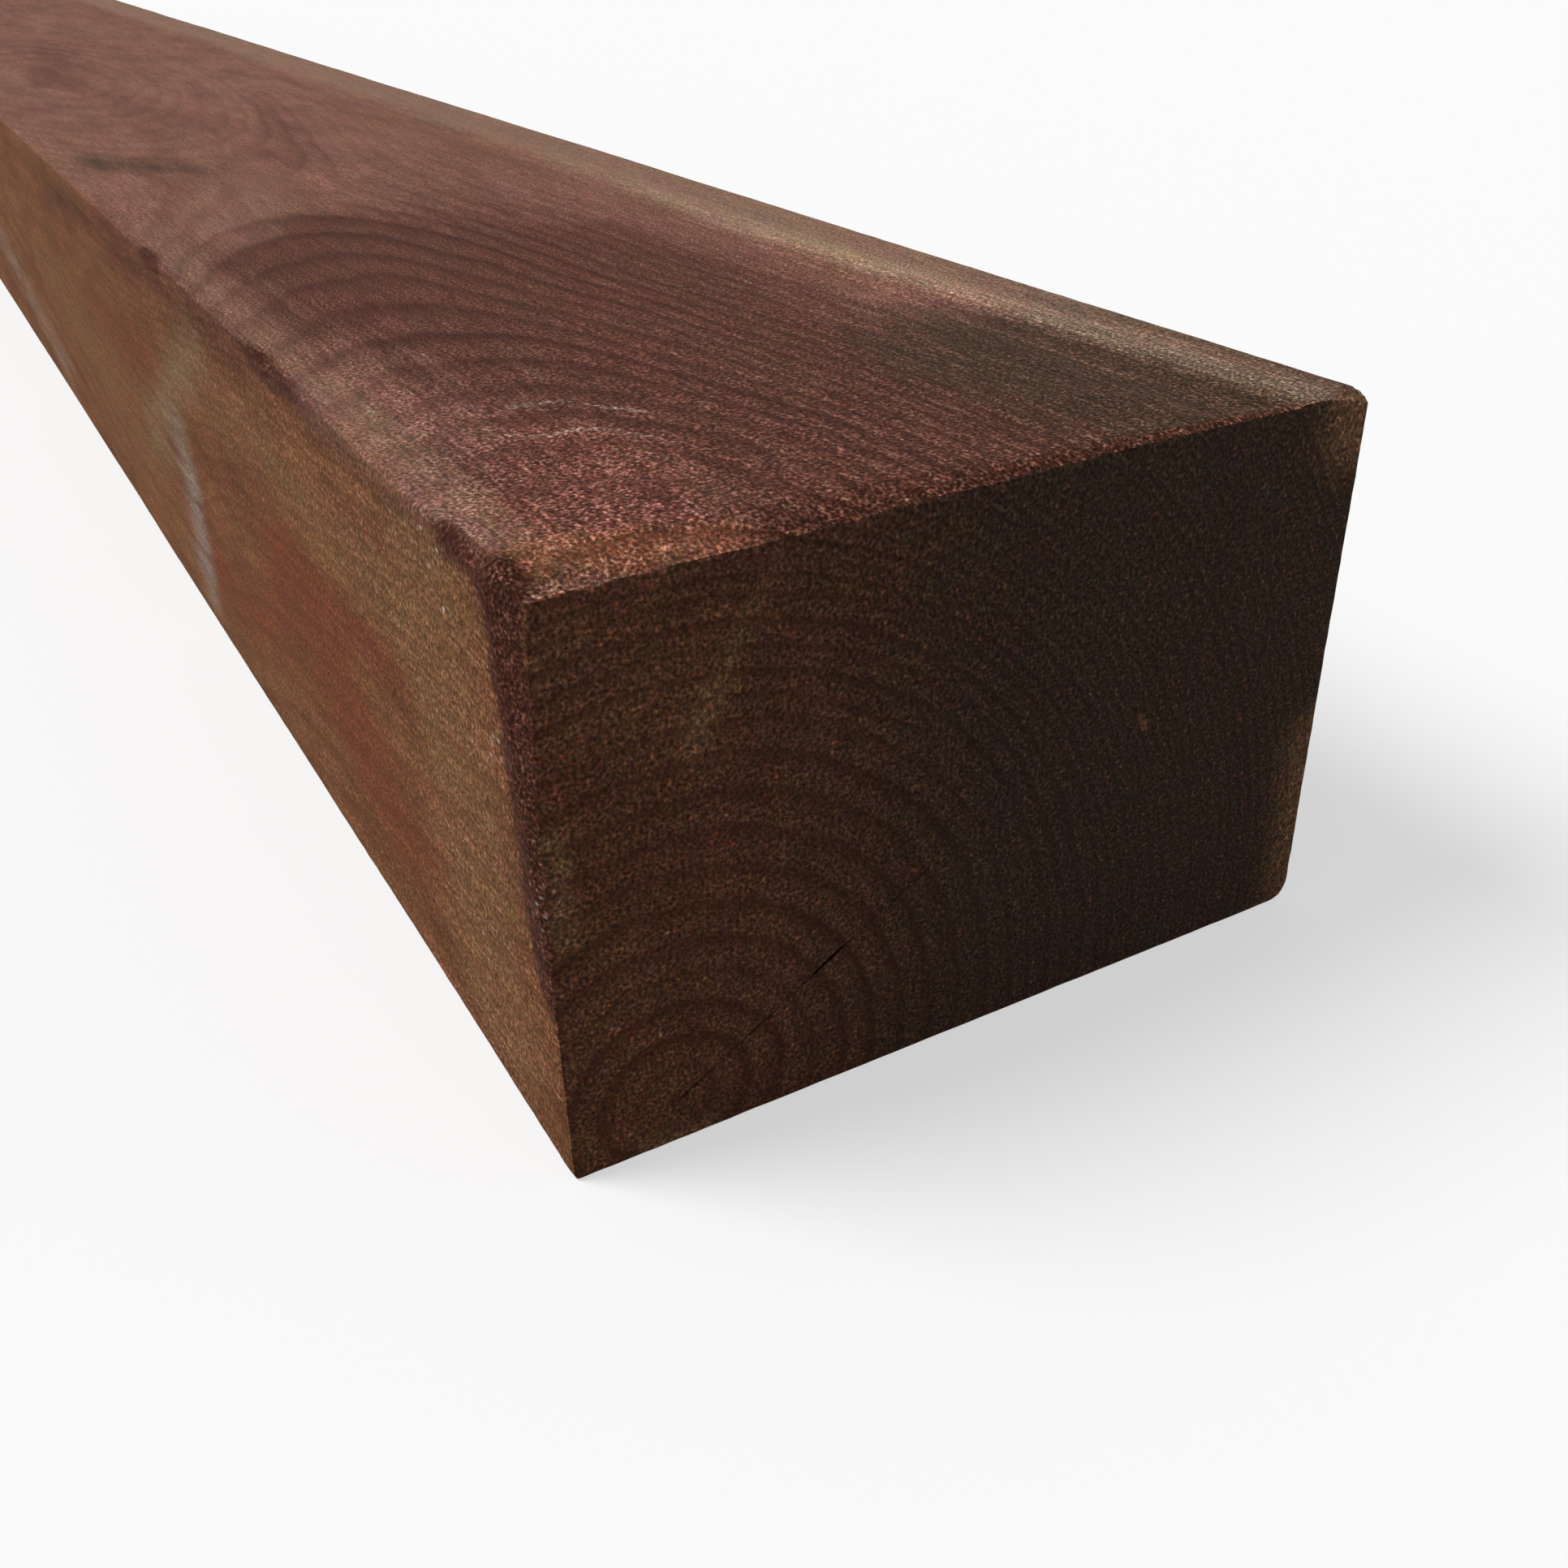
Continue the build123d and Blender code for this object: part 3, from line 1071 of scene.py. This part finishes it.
wood = add("ShaderNodeMix", {FACTOR: cut_across, FIRST: ringed[0], SECOND: ringed[1]}, data_type="RGBA")
print("latewood darkens the long faces by", LONG_RING_TINT, "and the ends by", END_RING_TINT)

# %% [markdown]
# No light reaches the bottom of the shake, and dirt collects there, so the shake gets painted shade and dirt
# together. Its walls are the only faces that lie close to the shake's line and also some way into the timber,
# so that is how they are found. Between the open splits the line goes on as a faint crack, a thin line of the
# same painted shade and dirt, which wobbles a little as it follows the fibres.

# %% Painted shade and dirt on the shake's walls and its hairline
SHAKE_SHADE_AND_DIRT = "#160D09"
SHAKE_HALF_BAND = 1.0
SHAKE_DARK_FROM = (0.18, 0.45)
SHAKE_DARK_TO = 100.0
HAIRLINE_HALF_WIDTHS = (0.5, 0.15)
HAIRLINE_WOBBLE = 1.4
HAIRLINE_SHARE = 0.4
HAIRLINE_DEPTH = 2.0

offset = add("ShaderNodeVectorMath", {0: millimetres, 1: (0, *PITH)}, operation="SUBTRACT")
aside = add("ShaderNodeVectorMath", {0: offset, 1: sideways}, operation="DOT_PRODUCT")
out = add("ShaderNodeVectorMath", {0: offset, 1: outwards}, operation="DOT_PRODUCT")
by_line = add("ShaderNodeMath", {0: aside, 1: 0.0, 2: SHAKE_HALF_BAND}, operation="COMPARE")
inside = add(
    "ShaderNodeMapRange",
    {"Value": into, "From Min": SHAKE_DARK_FROM[0], "From Max": SHAKE_DARK_FROM[1]},
)
on_reach = add("ShaderNodeMath", {0: out, 1: SHAKE_REACH / 2, 2: SHAKE_REACH / 2}, operation="COMPARE")
near_end = add("ShaderNodeMath", {0: into, 1: SHAKE_DARK_TO}, operation="LESS_THAN")
wall = add("ShaderNodeMath", {0: by_line, 1: near_end}, operation="MULTIPLY")
wall = add("ShaderNodeMath", {0: wall, 1: inside}, operation="MULTIPLY")
wobble = add("ShaderNodeMath", {0: layers["tuft"], 1: NOISE_MIDDLE}, operation="SUBTRACT")
wobble = add("ShaderNodeMath", {0: wobble, 1: HAIRLINE_WOBBLE, 2: aside}, operation="MULTIPLY_ADD")
hairline = add(
    "ShaderNodeMapRange",
    {
        "Value": add("ShaderNodeMath", {0: wobble}, operation="ABSOLUTE"),
        "From Min": HAIRLINE_HALF_WIDTHS[0],
        "From Max": HAIRLINE_HALF_WIDTHS[1],
        "To Max": HAIRLINE_SHARE,
    },
    interpolation_type="SMOOTHSTEP",
)
at_face = add("ShaderNodeMath", {0: into, 1: HAIRLINE_DEPTH}, operation="LESS_THAN")
hairline = add("ShaderNodeMath", {0: hairline, 1: at_face}, operation="MULTIPLY")
weight = add("ShaderNodeMath", {0: wall, 1: hairline}, operation="MAXIMUM")
weight = add("ShaderNodeMath", {0: weight, 1: on_reach}, operation="MULTIPLY")
# painted shade and dirt on the shake's walls and along its hairline
wood = add("ShaderNodeMix", {FACTOR: weight, FIRST: wood, SECOND: SHAKE_SHADE_AND_DIRT}, data_type="RGBA")
print("shake walls darkened to", SHAKE_SHADE_AND_DIRT)

# %% [markdown]
# ## Speckle and relief
# Rough sawing tears the fibres into a nap. From close by it reads as fine light and dark points with a few
# brighter, warmer flecks, which are painted glints. A power keeps the speckle a ratio: as many points are
# half as bright as are twice as bright. The light points are bare fibres, a little greyer on the long faces
# and a little warmer on the ends. Handling has raised the nap most near the worn end, stains raise it or lay
# it, the painted sheen lays it, dense latewood tears less, and the far margin and the far side are worn
# smoother.
# A few pale splinters lie on the near side. The noise of the speckle also drives the bump.

# %% Speckle
SPECKLE_CONTRAST = 30.0
SIDE_SPECKLE = 1.08
TOP_SPECKLE = 1.75
END_SPECKLE = 1.2
# The painted sheen also lays the speckle.
SPECKLE_CHANGES = {"wine": 0.25, "olive": 0.3, "darkened": 0.5, "haze": -0.6, "ember": -0.4, "red": -0.3}
CALM_FROM = 350.0
CALM_SHARE = 0.38
MARGIN_CALM = -0.6
LATEWOOD_CALM = -0.4
FIBRE_SHARE = 0.35
TINGES = {"tuft": 0.5, "mottle": 0.3}
BARE_FIBRE = 2.2
LONG_FIBRE_SATURATION = 0.88
END_FIBRE_SATURATION = 1.02

depth = add("ShaderNodeMapRange", {"Value": marks["skyward"], "To Min": SIDE_SPECKLE, "To Max": TOP_SPECKLE})
for kind, change in SPECKLE_CHANGES.items():
    depth = add("ShaderNodeMath", {0: marks[f"stain_{kind}"], 1: change, 2: depth}, operation="MULTIPLY_ADD")
depth = add("ShaderNodeMath", {0: margin, 1: MARGIN_CALM, 2: depth}, operation="MULTIPLY_ADD")
calm = add("ShaderNodeMapRange", {"Value": into, "From Max": CALM_FROM, "To Min": 1.0, "To Max": CALM_SHARE})
depth = add("ShaderNodeMath", {0: depth, 1: calm}, operation="MULTIPLY")
depth = add("ShaderNodeMapRange", {"Value": cut_across, "To Min": depth, "To Max": END_SPECKLE})
calm = add("ShaderNodeMath", {0: ring, 1: LATEWOOD_CALM, 2: 1.0}, operation="MULTIPLY_ADD")
depth = add("ShaderNodeMath", {0: depth, 1: calm}, operation="MULTIPLY")
grit = add("ShaderNodeMath", {0: layers["nap"], 1: NOISE_MIDDLE}, operation="SUBTRACT")
streak = add("ShaderNodeMath", {0: layers["fibre"], 1: NOISE_MIDDLE}, operation="SUBTRACT")
grit = add("ShaderNodeMath", {0: streak, 1: FIBRE_SHARE, 2: grit}, operation="MULTIPLY_ADD")
grit = add("ShaderNodeMath", {0: grit, 1: depth}, operation="MULTIPLY")
speckle = add("ShaderNodeMath", {0: SPECKLE_CONTRAST, 1: grit}, operation="POWER")
bare = add(
    "ShaderNodeMapRange",
    {"Value": cut_across, "To Min": LONG_FIBRE_SATURATION, "To Max": END_FIBRE_SATURATION},
)
saturation = add(
    "ShaderNodeMapRange",
    {"Value": speckle, "From Min": 1.0, "From Max": BARE_FIBRE, "To Min": 1.0, "To Max": bare},
)
for name, strength in TINGES.items():
    tinge = add(
        "ShaderNodeVectorMath",
        {0: layers[name].node.outputs["Color"], 1: (strength,) * 3, 2: (1 - strength / 2,) * 3},
        operation="MULTIPLY_ADD",
    )
    wood = add("ShaderNodeVectorMath", {0: wood, 1: tinge}, operation="MULTIPLY")
wood = add("ShaderNodeHueSaturation", {"Color": wood, "Saturation": saturation, "Value": speckle})
print(f"speckle strength: {SIDE_SPECKLE} on the sides, {TOP_SPECKLE} on the top, {END_SPECKLE} on the ends")

# %% Painted glints on the torn fibres, and splinters
FLECK_SIZES = (1.3, 1.3, 1.3)
FLECK_RADIUS_SHARE = 0.4
FLECK_CHOSEN_SHARE = 0.25
GLINT_TINT = (0.5, 0.28, 0.18)
LONG_GLINT_GAIN = 1.2
END_GLINT_GAIN = 3.0
SPLINTER_SIZES = (2.4, 1.3, 1.3)
SPLINTER_RADIUS_SHARE = 0.4
SPLINTER_CHOSEN_SHARE = 0.3
SPLINTER_TONE = "#D8D2CA"


def grains(sizes, radius_share, chosen_share):
    """A small grain at the middle of some cells, drawn by lot, and a colour for each cell."""
    scaled = add("ShaderNodeMapping", {"Vector": millimetres, "Scale": [1 / size for size in sizes]})
    cells = add("ShaderNodeTexVoronoi", {"Vector": scaled, "Scale": 1.0}).node.outputs
    lot = add("ShaderNodeSeparateColor", {0: cells["Color"]}).node.outputs["Blue"]
    chosen = add("ShaderNodeMath", {0: lot, 1: chosen_share}, operation="LESS_THAN")
    middle = add(
        "ShaderNodeMapRange",
        {"Value": cells["Distance"], "From Min": radius_share, "From Max": 0.0},
        interpolation_type="SMOOTHSTEP",
    )
    return add("ShaderNodeMath", {0: middle, 1: chosen}, operation="MULTIPLY"), cells["Color"]


# The flecks are painted glints: warm bright points on the torn fibres.
fleck, hue = grains(FLECK_SIZES, FLECK_RADIUS_SHARE, FLECK_CHOSEN_SHARE)
gain = add("ShaderNodeMapRange", {"Value": cut_across, "To Min": LONG_GLINT_GAIN, "To Max": END_GLINT_GAIN})
gain = add("ShaderNodeMath", {0: fleck, 1: gain}, operation="MULTIPLY")
glint = add("ShaderNodeVectorMath", {0: hue, 1: GLINT_TINT, 2: GLINT_TINT}, operation="MULTIPLY_ADD")
glint = add("ShaderNodeVectorMath", {0: glint, "Scale": gain}, operation="SCALE")
wood = add("ShaderNodeVectorMath", {0: wood, 1: glint, 2: wood}, operation="MULTIPLY_ADD")
splinter, _ = grains(SPLINTER_SIZES, SPLINTER_RADIUS_SHARE, SPLINTER_CHOSEN_SHARE)
strewn = stain_and_light_weight("fleck", long_break)
strewn = add("ShaderNodeMath", {0: splinter, 1: strewn}, operation="MULTIPLY")
wood = add("ShaderNodeMix", {FACTOR: strewn, FIRST: wood, SECOND: SPLINTER_TONE}, data_type="RGBA")
print("flecks and splinters strewn")

# %% Relief and the finished shader
RELIEF_SHARES = {"fibre": 0.6, "saw": 0.5}
RELIEF_HEIGHT = 0.4 * MM
RELIEF_STRENGTH = 0.8
ROUGHNESS = 0.88
SPECULAR = 0.08

relief = layers["nap"]
for name, share in RELIEF_SHARES.items():
    relief = add("ShaderNodeMath", {0: layers[name], 1: share, 2: relief}, operation="MULTIPLY_ADD")
bump = add(
    "ShaderNodeBump", {"Strength": RELIEF_STRENGTH, "Distance": RELIEF_HEIGHT, "Height": relief}
)
shader = add(
    "ShaderNodeBsdfPrincipled",
    {"Base Color": wood, "Roughness": ROUGHNESS, "Specular IOR Level": SPECULAR, "Normal": bump},
)
add("ShaderNodeOutputMaterial", {"Surface": shader})
timber_mesh.materials.append(softwood)
print("softwood nodes:", len(tree.nodes))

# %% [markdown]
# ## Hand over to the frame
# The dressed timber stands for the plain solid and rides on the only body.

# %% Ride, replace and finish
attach(timber, "root")
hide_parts("sleeper")
